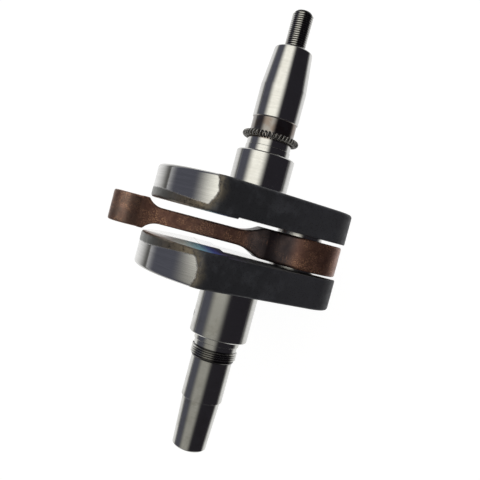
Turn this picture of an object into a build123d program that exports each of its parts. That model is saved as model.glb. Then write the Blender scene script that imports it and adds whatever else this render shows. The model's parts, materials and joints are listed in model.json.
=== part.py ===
# Built-up crankshaft of a small single-cylinder engine, with its connecting rod.
#
# Frame: the main shaft axis is the Y axis, +Y towards the flywheel, and the
# origin is on that axis in the rod's middle plane. The crank stands at bottom
# dead centre: the crankpin is below the axis, the counterweights and the rod's
# small end are above it, and +Z is the cylinder's direction. Millimetres.

from build123d import *
from math import acos, atan2, cos, degrees, hypot, radians, sin
import os

# ---- driving dimensions ----------------------------------------------------
THROW = 26.0                # main axis to crankpin axis, half the stroke
ROD_CENTRES = 81.2          # crankpin axis to small-end axis

# crank webs
WEB_RADIUS = 47.3           # turned rim of the counterweight
PIN_END_RADIUS = 21.7       # web's rounding about the crankpin
FLANK_HEIGHT = 19.5         # height at which rim turns into flank
WEB_INNER = 7.75            # counterweight's inner face, from the middle plane
WEB_RELIEF = 8.7            # milled inner face beside the rod's big end
RELIEF_EDGE = 10.5          # height of the step between those two faces
WEB_OUTER = 23.3            # outer face, from the middle plane
INNER_BEVEL = 1.5           # bevel round the inner face
OUTER_ROUNDING = 1.5        # rounding round the outer face
SHOULDER_ROUNDING = 5.0     # rounding between rim and flank

# flywheel-side shaft: distances along the axis from the middle plane
JOURNAL_R = 14.0
FLY_JOURNAL_END = 40.5
FLY_LAND_R = 10.75
FLY_LAND_END = 43.6
FLY_NECK_R = 10.5
FLY_NECK_END = 56.8
FLY_SEAT_R = 11.0
FLY_SEAT_END = 72.2
FLY_TAPER_END = 90.9
FLY_TAPER_TIP_R = 9.13      # 1 in 5 taper on diameter
NOSE_R = 5.0
NOSE_PITCH = 1.0
NOSE_END = 109.5

# drive-side shaft
DRIVE_JOURNAL_END = 48.4
DRIVE_LAND_R = 11.0
DRIVE_LAND_END = 51.4
DRIVE_UNDERCUT_R = 10.4
DRIVE_UNDERCUT_END = 53.6
DRIVE_THREAD_R = 11.0
DRIVE_THREAD_PITCH = 1.0
DRIVE_THREAD_END = 59.2
STUB_R = 9.9
STUB_END = 79.2
END_TAPER_R = 9.2
END_TAPER_TIP_R = 8.2
DRIVE_END = 103.4

JOURNAL_CHAMFER = 0.9
END_CHAMFER = 0.7
SMALL_CHAMFER = 0.35
CENTRE_R = 2.0              # 60 degree centre holes in both shaft ends
CENTRE_PILOT_R = 0.9
CENTRE_PILOT_DEPTH = 4.5
OIL_HOLE_R = 1.0
OIL_HOLE_Y = -40.1
OIL_HOLE_DEPTH = 6.0
OIL_HOLE_ANGLE = 0.0        # from +Z towards +X

# big-end bearing
PIN_R = 11.0
PIN_RECESS = 0.6            # pin ends below the webs' outer faces
PIN_CHAMFER = 0.5
PIN_LEAD_IN = 0.7           # chamfer at the mouth of the webs' pin bores
ROLLER_R = 1.70
ROLLER_CENTRE_R = 12.75     # rollers run 0.05 clear of the pin and of the rod's bore
ROLLER_LENGTH = 11.4
ROLLER_COUNT = 15
ROLLER_CROWN = 0.25
CAGE_INNER_R = 11.5
CAGE_OUTER_R = 14.0
CAGE_LENGTH = 14.0
POCKET_CLEARANCE = 0.12

# connecting rod
BIG_END_R = 20.8
BIG_END_BORE_R = 14.5
ROD_WIDTH = 14.4            # along the shaft axis
SMALL_END_R = 8.6
SMALL_END_BORE_R = 6.0
SMALL_END_WIDTH = 14.2
SHANK_THICKNESS = 7.7       # along the shaft axis
SHANK_TOP_WIDTH = 12.0      # across, at the small end
SHANK_FOOT_WIDTH = 18.0     # across, at the big end
SMALL_END_FLARE_R = 8.5     # fillet from shank to small end
BIG_END_FLARE_R = 22.0      # fillet from shank to big end
POCKET_DEPTH = 2.2          # I-section pocket in each face of the shank
FLANGE = 2.6                # thickness of the I-section's flanges

# garter spring on the neck
SPRING_COIL_R = 1.5
SPRING_CENTRE_R = 12.05
SPRING_Y = 48.5

ROLLER_STEP = 360.0 / ROLLER_COUNT
PIN_CENTRE_Z = -THROW
SMALL_END_Z = ROD_CENTRES - THROW

os.makedirs("parts", exist_ok=True)


# ---- helpers ---------------------------------------------------------------
def across(y=0.0):
    """A sketch plane at y whose x is +X, whose y is +Z and which looks along -Y."""
    return Plane(origin=(0, y, 0), x_dir=(1, 0, 0), z_dir=(0, -1, 0))


def bar(radius, y_low, y_high, z=0.0, x=0.0):
    """A cylinder along Y from y_low to y_high."""
    middle = (y_low + y_high) / 2
    return Pos(x, middle, z) * Rot(X=90) * Cylinder(radius, y_high - y_low)


def turned(points):
    """Revolves an outline of (distance along Y, radius) points about the main axis."""
    corners = [(radius, along) for along, radius in points]
    face = make_face(Polyline(*corners, close=True))
    return revolve(face, axis=Axis.Y)


def thread_points(start, end, radius, pitch, side):
    """Ridges of a thread between two stations; side is +1 or -1 along Y."""
    depth = 0.6134 * pitch
    crest = pitch / 8
    count = int((end - start) / pitch)
    points = []
    for turn in range(count):
        foot = start + turn * pitch
        points.append((side * foot, radius - depth))
        points.append((side * (foot + pitch / 2 - crest / 2), radius))
        points.append((side * (foot + pitch / 2 + crest / 2), radius))
    points.append((side * (start + count * pitch), radius - depth))
    return points


def centre_hole(y_end, side):
    """A centre drilled into a shaft's end face; side points out of the end."""
    pilot = bar(CENTRE_PILOT_R, y_end - CENTRE_PILOT_DEPTH, y_end + 1)
    if side < 0:
        pilot = bar(CENTRE_PILOT_R, y_end - 1, y_end + CENTRE_PILOT_DEPTH)
    countersink_depth = CENTRE_R / 0.577
    cone = Cone(0.01, CENTRE_R, countersink_depth)
    centre = y_end - side * countersink_depth / 2
    return pilot + Pos(0, centre, 0) * Rot(X=-90 * side) * cone


# ---- crank webs ------------------------------------------------------------
def web_outline():
    """Counterweight rim, straight flanks and the rounding about the crankpin."""
    corner_x = (WEB_RADIUS ** 2 - FLANK_HEIGHT ** 2) ** 0.5
    rise = FLANK_HEIGHT - PIN_CENTRE_Z
    bearing = degrees(atan2(rise, corner_x))
    swing = degrees(acos(PIN_END_RADIUS / hypot(corner_x, rise)))
    touch = radians(bearing - swing)
    touch_x = PIN_END_RADIUS * cos(touch)
    touch_z = PIN_CENTRE_Z + PIN_END_RADIUS * sin(touch)
    rim = ThreePointArc((-corner_x, FLANK_HEIGHT), (0, WEB_RADIUS), (corner_x, FLANK_HEIGHT))
    right = Line((corner_x, FLANK_HEIGHT), (touch_x, touch_z))
    low = ThreePointArc((touch_x, touch_z), (0, PIN_CENTRE_Z - PIN_END_RADIUS), (-touch_x, touch_z))
    left = Line((-touch_x, touch_z), (-corner_x, FLANK_HEIGHT))
    return make_face([rim, right, low, left])


def web(side):
    """One web, on the +Y or -Y side, with its rounded edges and its relief."""
    near, far = sorted((side * WEB_INNER, side * WEB_OUTER))
    body = extrude(across(near) * web_outline(), amount=-(far - near))
    shoulders = [e for e in body.edges().filter_by(Axis.Y) if e.center().Z > 0]
    body = fillet(shoulders, SHOULDER_ROUNDING)
    inner_face = body.faces().sort_by(Axis.Y)[0 if side > 0 else -1]
    body = chamfer(inner_face.edges(), INNER_BEVEL)
    outer_loop = [e for e in body.edges() if abs(e.center().Y - side * WEB_OUTER) < 0.01]
    body = fillet(outer_loop, OUTER_ROUNDING)
    relief_depth = WEB_RELIEF - WEB_INNER
    relief = Box(3 * WEB_RADIUS, 2 * relief_depth, 2 * WEB_RADIUS)
    return body - Pos(0, side * WEB_INNER, RELIEF_EDGE - WEB_RADIUS) * relief


# ---- crank halves ----------------------------------------------------------
def flywheel_side_half():
    """Web, journal, spring neck, seat, taper and threaded nose in one forging."""
    shaft = [
        (WEB_RELIEF + 2, 0),
        (WEB_RELIEF + 2, JOURNAL_R),
        (FLY_JOURNAL_END - JOURNAL_CHAMFER, JOURNAL_R),
        (FLY_JOURNAL_END, JOURNAL_R - JOURNAL_CHAMFER),
        (FLY_JOURNAL_END, FLY_LAND_R),
        (FLY_LAND_END, FLY_LAND_R),
        (FLY_LAND_END, FLY_NECK_R),
        (FLY_NECK_END, FLY_NECK_R),
        (FLY_NECK_END, FLY_SEAT_R - SMALL_CHAMFER),
        (FLY_NECK_END + SMALL_CHAMFER, FLY_SEAT_R),
        (FLY_SEAT_END, FLY_SEAT_R),
        (FLY_TAPER_END - SMALL_CHAMFER, FLY_TAPER_TIP_R),
        (FLY_TAPER_END, FLY_TAPER_TIP_R - SMALL_CHAMFER),
    ]
    shaft += thread_points(FLY_TAPER_END, NOSE_END - END_CHAMFER, NOSE_R, NOSE_PITCH, 1)
    shaft += [
        (NOSE_END, NOSE_R - 0.6134 * NOSE_PITCH - END_CHAMFER / 2),
        (NOSE_END, 0),
    ]
    half = web(1) + turned(shaft)
    half -= centre_hole(NOSE_END, 1)
    return half - pin_bore()


def drive_side_half():
    """Web, journal, lock-nut thread, stub shaft and end taper in one forging."""
    shaft = [
        (-WEB_RELIEF - 2, 0),
        (-WEB_RELIEF - 2, JOURNAL_R),
        (-DRIVE_JOURNAL_END + JOURNAL_CHAMFER, JOURNAL_R),
        (-DRIVE_JOURNAL_END, JOURNAL_R - JOURNAL_CHAMFER),
        (-DRIVE_JOURNAL_END, DRIVE_LAND_R),
        (-DRIVE_LAND_END, DRIVE_LAND_R),
        (-DRIVE_LAND_END, DRIVE_UNDERCUT_R),
        (-DRIVE_UNDERCUT_END, DRIVE_UNDERCUT_R),
    ]
    shaft += thread_points(DRIVE_UNDERCUT_END, DRIVE_THREAD_END, DRIVE_THREAD_R, DRIVE_THREAD_PITCH, -1)
    shaft += [
        (-DRIVE_THREAD_END, STUB_R),
        (-STUB_END, STUB_R),
        (-STUB_END, END_TAPER_R),
        (-DRIVE_END + END_CHAMFER, END_TAPER_TIP_R),
        (-DRIVE_END, END_TAPER_TIP_R - END_CHAMFER),
        (-DRIVE_END, 0),
    ]
    half = web(-1) + turned(shaft)
    half -= centre_hole(-DRIVE_END, -1)
    drill = Pos(0, OIL_HOLE_Y, JOURNAL_R) * Cylinder(OIL_HOLE_R, 2 * OIL_HOLE_DEPTH)
    half -= Rot(Y=OIL_HOLE_ANGLE) * drill
    return half - pin_bore()


def pin_bore():
    """Bore through both webs, with a lead-in at each outer face."""
    bore = bar(PIN_R, -WEB_OUTER - 1, WEB_OUTER + 1, PIN_CENTRE_Z)
    for side in (1, -1):
        lead = Cone(PIN_R, PIN_R + PIN_LEAD_IN, PIN_LEAD_IN)
        centre = side * (WEB_OUTER - PIN_LEAD_IN / 2)
        bore += Pos(0, centre, PIN_CENTRE_Z) * Rot(X=-90 * side) * lead
    return bore


def crankpin():
    """Ground pin pressed into both webs, chamfered and centre-drilled at both ends."""
    pin_end = WEB_OUTER - PIN_RECESS
    pin = bar(PIN_R, -pin_end, pin_end, PIN_CENTRE_Z)
    pin = chamfer(pin.edges().filter_by(GeomType.CIRCLE), PIN_CHAMFER)
    for side in (1, -1):
        pin -= Pos(0, 0, PIN_CENTRE_Z) * centre_hole(side * pin_end, side)
    return pin


# ---- big-end bearing -------------------------------------------------------
def big_end_cage():
    """Needle cage with one pocket for each roller."""
    half_length = CAGE_LENGTH / 2
    cage = bar(CAGE_OUTER_R, -half_length, half_length, PIN_CENTRE_Z)
    cage -= bar(CAGE_INNER_R, -half_length - 1, half_length + 1, PIN_CENTRE_Z)
    pocket_width = 2 * (ROLLER_R + POCKET_CLEARANCE)
    pocket_length = ROLLER_LENGTH + 2 * POCKET_CLEARANCE
    for index in range(ROLLER_COUNT):
        pocket = Box(pocket_width, pocket_length, 2 * (CAGE_OUTER_R - CAGE_INNER_R))
        place = Pos(0, 0, PIN_CENTRE_Z) * Rot(Y=index * ROLLER_STEP) * Pos(0, 0, ROLLER_CENTRE_R)
        cage -= place * pocket
    return cage


def big_end_roller(index):
    """One crowned roller in its pocket."""
    roller = Rot(X=90) * Cylinder(ROLLER_R, ROLLER_LENGTH)
    roller = chamfer(roller.edges().filter_by(GeomType.CIRCLE), ROLLER_CROWN)
    return Pos(0, 0, PIN_CENTRE_Z) * Rot(Y=index * ROLLER_STEP) * Pos(0, 0, ROLLER_CENTRE_R) * roller


# ---- connecting rod --------------------------------------------------------
def rod_front():
    """The rod's outline seen along the shaft axis."""
    big = Pos(0, PIN_CENTRE_Z) * Circle(BIG_END_R)
    small = Pos(0, SMALL_END_Z) * Circle(SMALL_END_R)
    foot = SHANK_FOOT_WIDTH / 2
    top = SHANK_TOP_WIDTH / 2
    shank = make_face(Polyline(
        (-foot, PIN_CENTRE_Z), (foot, PIN_CENTRE_Z), (top, SMALL_END_Z), (-top, SMALL_END_Z), close=True))
    return big + small + shank


def flare_centre(end_edge, radius, flange_half):
    """Distance from an end's corner to where its flare meets the shank."""
    rise = flange_half - SHANK_THICKNESS / 2
    return end_edge + (radius ** 2 - (radius - rise) ** 2) ** 0.5


def rod_side():
    """The rod's outline seen across the shaft axis: thin shank, flared ends."""
    half_big = ROD_WIDTH / 2
    half_small = SMALL_END_WIDTH / 2
    half_shank = SHANK_THICKNESS / 2
    big_edge = PIN_CENTRE_Z + BIG_END_R - 1.5
    small_edge = SMALL_END_Z - SMALL_END_R + 1.0
    low = flare_centre(big_edge, BIG_END_FLARE_R, half_big)
    high = small_edge - flare_centre(0, SMALL_END_FLARE_R, half_small)
    bottom = PIN_CENTRE_Z - BIG_END_R - 1
    top = SMALL_END_Z + SMALL_END_R + 1
    lines = []
    for side in (1, -1):
        lines.append(Line((side * half_big, bottom), (side * half_big, big_edge)))
        lines.append(TangentArc((side * half_shank, low), (side * half_big, big_edge), tangent=(0, -1)))
        lines.append(Line((side * half_shank, low), (side * half_shank, high)))
        lines.append(TangentArc((side * half_shank, high), (side * half_small, small_edge), tangent=(0, 1)))
        lines.append(Line((side * half_small, small_edge), (side * half_small, top)))
    lines.append(Line((-half_big, bottom), (half_big, bottom)))
    lines.append(Line((-half_small, top), (half_small, top)))
    return make_face(lines)


def shank_pocket(side):
    """Recess that makes the shank's I-section, open to one side."""
    low_z = PIN_CENTRE_Z + BIG_END_R + 7.0
    high_z = SMALL_END_Z - SMALL_END_R - 6.0
    low_half = SHANK_FOOT_WIDTH / 2 - FLANGE - 1.0
    high_half = SHANK_TOP_WIDTH / 2 - FLANGE
    face = make_face(Polyline(
        (-low_half, low_z), (low_half, low_z), (high_half, high_z), (-high_half, high_z), close=True))
    face = fillet(face.vertices(), high_half * 0.8)
    floor_y = side * (SHANK_THICKNESS / 2 - POCKET_DEPTH)
    return extrude(across(floor_y) * face, amount=-side * ROD_WIDTH)


def connecting_rod():
    """One-piece forged rod with an I-section shank and both bores."""
    front = extrude(across(ROD_WIDTH) * rod_front(), amount=-2 * ROD_WIDTH, both=True)
    side_plane = Plane(origin=(0, 0, 0), x_dir=(0, 1, 0), z_dir=(1, 0, 0))
    side = extrude(side_plane * rod_side(), amount=2 * BIG_END_R, both=True)
    rod = front & side
    for face_side in (1, -1):
        rod -= shank_pocket(face_side)
    rod -= bar(BIG_END_BORE_R, -ROD_WIDTH, ROD_WIDTH, PIN_CENTRE_Z)
    rod -= bar(SMALL_END_BORE_R, -ROD_WIDTH, ROD_WIDTH, SMALL_END_Z)
    return rod


# ---- spring ring -----------------------------------------------------------
def spring_ring():
    """Garter spring, as the plain ring that its coils fill."""
    return Pos(0, SPRING_Y, 0) * Rot(X=90) * Torus(SPRING_CENTRE_R, SPRING_COIL_R)


# ---- write the parts -------------------------------------------------------
def main():
    """Writes one STEP file for each piece."""
    pieces = {
        "flywheel_side_crank_half": flywheel_side_half(),
        "drive_side_crank_half": drive_side_half(),
        "crankpin": crankpin(),
        "connecting_rod": connecting_rod(),
        "big_end_cage": big_end_cage(),
        "garter_spring_ring": spring_ring(),
    }
    for index in range(ROLLER_COUNT):
        pieces[f"big_end_roller_{index + 1:02d}"] = big_end_roller(index)
    for name, shape in pieces.items():
        export_step(shape, f"parts/{name}.step")


main()
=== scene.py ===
import json
from math import acos, atan2, cos, degrees, hypot, pi, radians, sin

import bmesh
import bpy
from mathutils import Matrix, Vector

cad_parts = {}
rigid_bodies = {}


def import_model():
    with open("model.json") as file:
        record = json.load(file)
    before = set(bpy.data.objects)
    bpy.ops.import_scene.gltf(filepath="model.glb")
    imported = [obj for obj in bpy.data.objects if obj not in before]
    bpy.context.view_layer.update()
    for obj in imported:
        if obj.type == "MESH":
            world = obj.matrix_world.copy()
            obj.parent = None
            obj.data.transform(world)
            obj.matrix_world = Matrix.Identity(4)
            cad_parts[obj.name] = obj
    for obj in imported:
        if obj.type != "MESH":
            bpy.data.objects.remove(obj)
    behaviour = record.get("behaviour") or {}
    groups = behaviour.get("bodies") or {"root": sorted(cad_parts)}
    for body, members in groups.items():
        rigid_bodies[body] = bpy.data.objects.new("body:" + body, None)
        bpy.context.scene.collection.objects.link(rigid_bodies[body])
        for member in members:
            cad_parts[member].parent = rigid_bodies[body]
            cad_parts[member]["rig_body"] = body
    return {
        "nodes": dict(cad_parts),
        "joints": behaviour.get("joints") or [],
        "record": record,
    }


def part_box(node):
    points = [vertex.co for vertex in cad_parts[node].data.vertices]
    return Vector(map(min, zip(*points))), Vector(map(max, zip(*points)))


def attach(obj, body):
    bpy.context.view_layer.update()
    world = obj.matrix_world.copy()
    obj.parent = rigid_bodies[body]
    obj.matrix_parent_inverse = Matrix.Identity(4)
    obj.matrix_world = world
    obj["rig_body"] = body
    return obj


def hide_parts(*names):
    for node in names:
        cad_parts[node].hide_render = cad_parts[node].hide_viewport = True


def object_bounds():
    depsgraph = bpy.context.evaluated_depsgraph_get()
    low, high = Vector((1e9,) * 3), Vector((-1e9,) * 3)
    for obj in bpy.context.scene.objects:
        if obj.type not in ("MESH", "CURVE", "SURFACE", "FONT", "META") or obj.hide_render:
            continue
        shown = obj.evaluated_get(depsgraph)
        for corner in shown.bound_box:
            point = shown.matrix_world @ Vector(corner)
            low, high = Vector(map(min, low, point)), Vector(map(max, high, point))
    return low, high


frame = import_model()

bl_info = {
    "name": "Built-up Crankshaft",
    "version": (1, 0, 0),
    "blender": (4, 5, 0),
    "location": "View3D > Sidebar > Crankshaft",
    "description": "Models and finishes a built-up crankshaft with its connecting rod",
    "category": "Add Mesh",
}

CAD_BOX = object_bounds()
MM = 0.001
RECORD = frame["record"]
ROD_JOINT = next(joint for joint in frame["joints"] if joint["name"] == "rod_swing")
PIN_Z = ROD_JOINT["pos_m"][2]
MOUNTS = {mount["name"]: mount for mount in RECORD["mounts"]}
SMALL_END_Z = MOUNTS["small_end_bore"]["pos_m"][2]
FLYWHEEL_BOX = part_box("flywheel_side_crank_half")
DRIVE_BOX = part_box("drive_side_crank_half")
ROD_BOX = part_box("connecting_rod")
PIN_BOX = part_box("crankpin")
RING_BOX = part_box("garter_spring_ring")
ROLLER_NODES = sorted(name for name in frame["nodes"] if name.startswith("big_end_roller"))
AXIS_Y = Vector((0, 1, 0))
AXIS_Z = Vector((0, 0, 1))
ORIGIN = Vector((0, 0, 0))
PIN_CENTRE = Vector((0, 0, PIN_Z))
SMALL_CENTRE = Vector((0, 0, SMALL_END_Z))


# ---- sizes read from the frame ----------------------------------------------------
def mount_radius(name):
    return MOUNTS[name]["dims"]["r_mm"] * MM


def mount_span(name):
    """A mount's near and far ends along the shaft, measured from the middle plane."""
    middle = abs(MOUNTS[name]["pos_m"][1])
    half = MOUNTS[name]["dims"]["length_mm"] * MM / 2
    return middle - half, middle + half


SMALL_BORE_R = mount_radius("small_end_bore")
JOURNAL_R = mount_radius("flywheel_side_journal")
NOSE_R = mount_radius("nose_thread")
LOCK_THREAD_R = mount_radius("lock_nut_thread")
SEAT_R = mount_radius("flywheel_seat")
STUB_R = mount_radius("drive_stub")
PIN_R = (PIN_BOX[1].x - PIN_BOX[0].x) / 2
ROD_WIDTH = ROD_BOX[1].y - ROD_BOX[0].y


# ---- sizes and finishes that a user may change -------------------------------
def length(name, description, millimetres):
    return bpy.props.FloatProperty(
        name=name, description=description, default=millimetres * MM, subtype="DISTANCE", unit="LENGTH",
        precision=4)


def colour(name, description, value):
    return bpy.props.FloatVectorProperty(
        name=name, description=description, default=value, subtype="COLOR", size=3, min=0.0, max=1.0)


def share(name, description, value):
    return bpy.props.FloatProperty(
        name=name, description=description, default=value, min=0.0, max=1.0, subtype="FACTOR")


class CrankWebSizes(bpy.types.PropertyGroup):
    """Sizes of the two crank webs"""
    rim_radius: length("Rim radius", "Radius of the turned counterweight rim", 47.3)
    pin_end_radius: length("Pin end radius", "Radius of the web about the crankpin", 21.7)
    flank_height: length("Flank height", "Height at which the rim turns into the flank", 19.5)
    inner_face: length("Inner face", "Counterweight's inner face, from the middle plane", 7.75)
    relief_face: length("Relief face", "Milled inner face beside the big end", 8.7)
    relief_edge: length("Relief edge", "Height of the step between the inner faces", 10.5)
    outer_face: length("Outer face", "Outer face, from the middle plane", 23.3)
    shoulder: length("Shoulder", "How far the rounding between rim and flank runs along each", 3.6)
    inner_bevel: length("Inner bevel", "Bevel round the inner face", 1.5)
    outer_rounding: length("Outer rounding", "Rounding round the outer face", 1.4)


class CrankShaftSizes(bpy.types.PropertyGroup):
    """Sizes of the two shafts, with ends measured from the middle plane"""
    nose_journal_end: length("Flywheel-side journal end", "Where the flywheel-side journal ends", 40.5)
    nose_land_radius: length("Flywheel-side land radius", "Radius of the land beyond that journal", 10.75)
    nose_land_end: length("Flywheel-side land end", "Where that land ends", 43.6)
    neck_radius: length("Neck radius", "Radius of the neck under the garter spring", 10.5)
    neck_end: length("Neck end", "Where the neck ends", 56.8)
    seat_end: length("Seat end", "Where the flywheel seat turns into the taper", 72.2)
    taper_tip_radius: length("Taper tip radius", "Radius of the taper beside the threaded nose", 9.13)
    drive_journal_end: length("Drive-side journal end", "Where the drive-side journal ends", 48.4)
    drive_land_radius: length("Drive-side land radius", "Radius of the land beyond that journal", 10.95)
    drive_land_end: length("Drive-side land end", "Where that land ends", 51.2)
    undercut_radius: length("Undercut radius", "Radius of the undercut before the lock-nut thread", 10.4)
    end_taper_radius: length("End taper radius", "Radius of the end taper where it starts", 9.2)
    end_tip_radius: length("End tip radius", "Radius of the end taper at the drive-side tip", 8.2)
    oil_hole_place: length("Oil hole place", "Distance of the oil hole from the middle plane", 40.1)
    oil_hole_radius: length("Oil hole radius", "Radius of the oil hole below its countersink", 1.0)


class CrankRodSizes(bpy.types.PropertyGroup):
    """Sizes of the connecting rod"""
    big_radius: length("Big end radius", "Outside radius of the big end", 20.8)
    big_bore: length("Big end bore", "Radius of the big end's bore", 14.5)
    small_radius: length("Small end radius", "Outside radius of the small end", 8.6)
    small_width: length("Small end width", "Width of the small end", 14.2)
    shank: length("Shank thickness", "Thickness of the shank along the shaft", 7.4)
    shank_top: length("Shank top width", "Width of the shank at the small end", 12.0)
    shank_foot: length("Shank foot width", "Width of the shank at the big end", 18.0)
    pocket: length("Pocket depth", "Depth of the pocket in each face of the shank", 2.2)
    rib: length("Rib", "Thickness of the shank's ribs beside the pockets", 2.6)
    rounding: length("Edge rounding", "Rounding of the outer edges of both ends", 0.7)
    voxel: length("Forging grain", "Size to which the forging's surface is resolved", 0.42)


class CrankSpringSizes(bpy.types.PropertyGroup):
    """Sizes of the garter spring"""
    wire: length("Wire radius", "Radius of the spring wire", 0.42)
    windings: bpy.props.IntProperty(name="Windings", description="Coils round the ring", default=44, min=8)


class CrankFinishes(bpy.types.PropertyGroup):
    """Colours and wear of the metal"""
    ground: colour("Ground steel", "Colour of the ground shafts and turned rims", (0.64, 0.635, 0.62))
    scale: colour("Forging scale", "Colour of the black forged flanks", (0.050, 0.052, 0.062))
    copper: colour("Copper plate", "Colour of the copper-plated rod", (0.36, 0.188, 0.140))
    wire: colour("Spring wire", "Colour of the tempered spring wire", (0.42, 0.41, 0.40))
    wear: share("Wear", "How far handling has marked the surfaces", 0.5)
    rim_angle: bpy.props.FloatProperty(
        name="Rim angle", description="Half angle of the turned part of the rim", default=radians(62.8),
        subtype="ANGLE")


# ---- mesh helpers --------------------------------------------------------------
MERGE = 0.5e-6
CREASE = 35.0


def closed_mesh(name, bm):
    """Merges a bmesh's doubles, turns its faces outwards and makes it a mesh."""
    bmesh.ops.remove_doubles(bm, verts=bm.verts[:], dist=MERGE)
    bmesh.ops.recalc_face_normals(bm, faces=bm.faces[:])
    mesh = bpy.data.meshes.new(name)
    bm.to_mesh(mesh)
    bm.free()
    return mesh


def place_object(name, data):
    """Adds an object that shows the data to the scene."""
    thing = bpy.data.objects.new(name, data)
    bpy.context.scene.collection.objects.link(thing)
    return thing


def new_piece(name, bm, body, replaces=(), crease=CREASE, weighted=True):
    """Turns a bmesh into a finished object that rides on a body."""
    return finish_piece(name, closed_mesh(name, bm), body, replaces, crease, weighted)


def finish_piece(name, mesh, body, replaces=(), crease=CREASE, weighted=True):
    """Links a mesh as an object with smooth shading, puts it on its body and hides the parts it replaces."""
    mesh.shade_smooth()
    mesh.set_sharp_from_angle(angle=radians(crease))
    piece = place_object(name, mesh)
    if weighted:
        weigh_normals(piece)
    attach(piece, body)
    if replaces:
        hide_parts(*replaces)
    return piece


def weigh_normals(piece):
    """Lets the large faces lead the shading across small roundings."""
    piece.modifiers.new("Weighted normals", "WEIGHTED_NORMAL").keep_sharp = True


def turn_profile(bm, corners, centre, axis, steps, rounding=0.0, across=AXIS_Z):
    """Spins corners of (distance along the axis, radius), in an empty bmesh, into a closed turned solid."""
    points = [bm.verts.new(centre + axis * along + across * radius) for along, radius in corners]
    for pair in zip(points, points[1:]):
        bm.edges.new(pair)
    if rounding:
        bmesh.ops.bevel(
            bm, geom=points[1:-1], offset=rounding, segments=2, profile=0.5,
            affect="VERTICES", material=-1, clamp_overlap=True)
    bmesh.ops.spin(
        bm, geom=bm.verts[:] + bm.edges[:], cent=centre, axis=axis, dvec=(0, 0, 0), angle=2 * pi,
        steps=steps, use_merge=True, use_normal_flip=False)
    bmesh.ops.remove_doubles(bm, verts=bm.verts[:], dist=MERGE)


def helical_ridge(bm, start, turns, radius, steps, side):
    """One thread ridge as a closed helical strip whose foot is sunk in the core."""
    sunk = 0.12 * MM
    foot = radius - THREAD_DEPTH - sunk
    half_foot = 0.47 * THREAD_PITCH
    half_crest = THREAD_PITCH / 16
    section = [(-half_foot, foot), (-half_crest, radius), (half_crest, radius), (half_foot, foot)]
    points = [bm.verts.new((0, side * (start + along), r)) for along, r in section]
    face = bm.faces.new(points)
    bmesh.ops.spin(
        bm, geom=[face], cent=ORIGIN, axis=(0, side, 0), dvec=(0, side * THREAD_PITCH / steps, 0),
        angle=2 * pi * turns, steps=int(turns * steps), use_merge=False, use_duplicate=False)


def cut(piece, cutter_bm):
    """Takes a closed shape out of a piece and applies the cut."""
    mesh = closed_mesh("cutter", cutter_bm)
    cutter = place_object("cutter", mesh)
    modifier = piece.modifiers.new("Cut", "BOOLEAN")
    modifier.operation = "DIFFERENCE"
    modifier.solver = "EXACT"
    modifier.object = cutter
    apply_modifiers(piece)
    bpy.data.objects.remove(cutter)
    bpy.data.meshes.remove(mesh)


def apply_modifiers(piece):
    """Replaces a piece's mesh by what its modifiers make of it."""
    graph = bpy.context.evaluated_depsgraph_get()
    made = bpy.data.meshes.new_from_object(piece.evaluated_get(graph))
    old = piece.data
    piece.modifiers.clear()
    piece.data = made
    made.name = piece.name
    bpy.data.meshes.remove(old)


def use_material(piece, *materials):
    """Gives a piece its materials in slot order."""
    piece.data.materials.clear()
    for material in materials:
        piece.data.materials.append(material)


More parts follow.
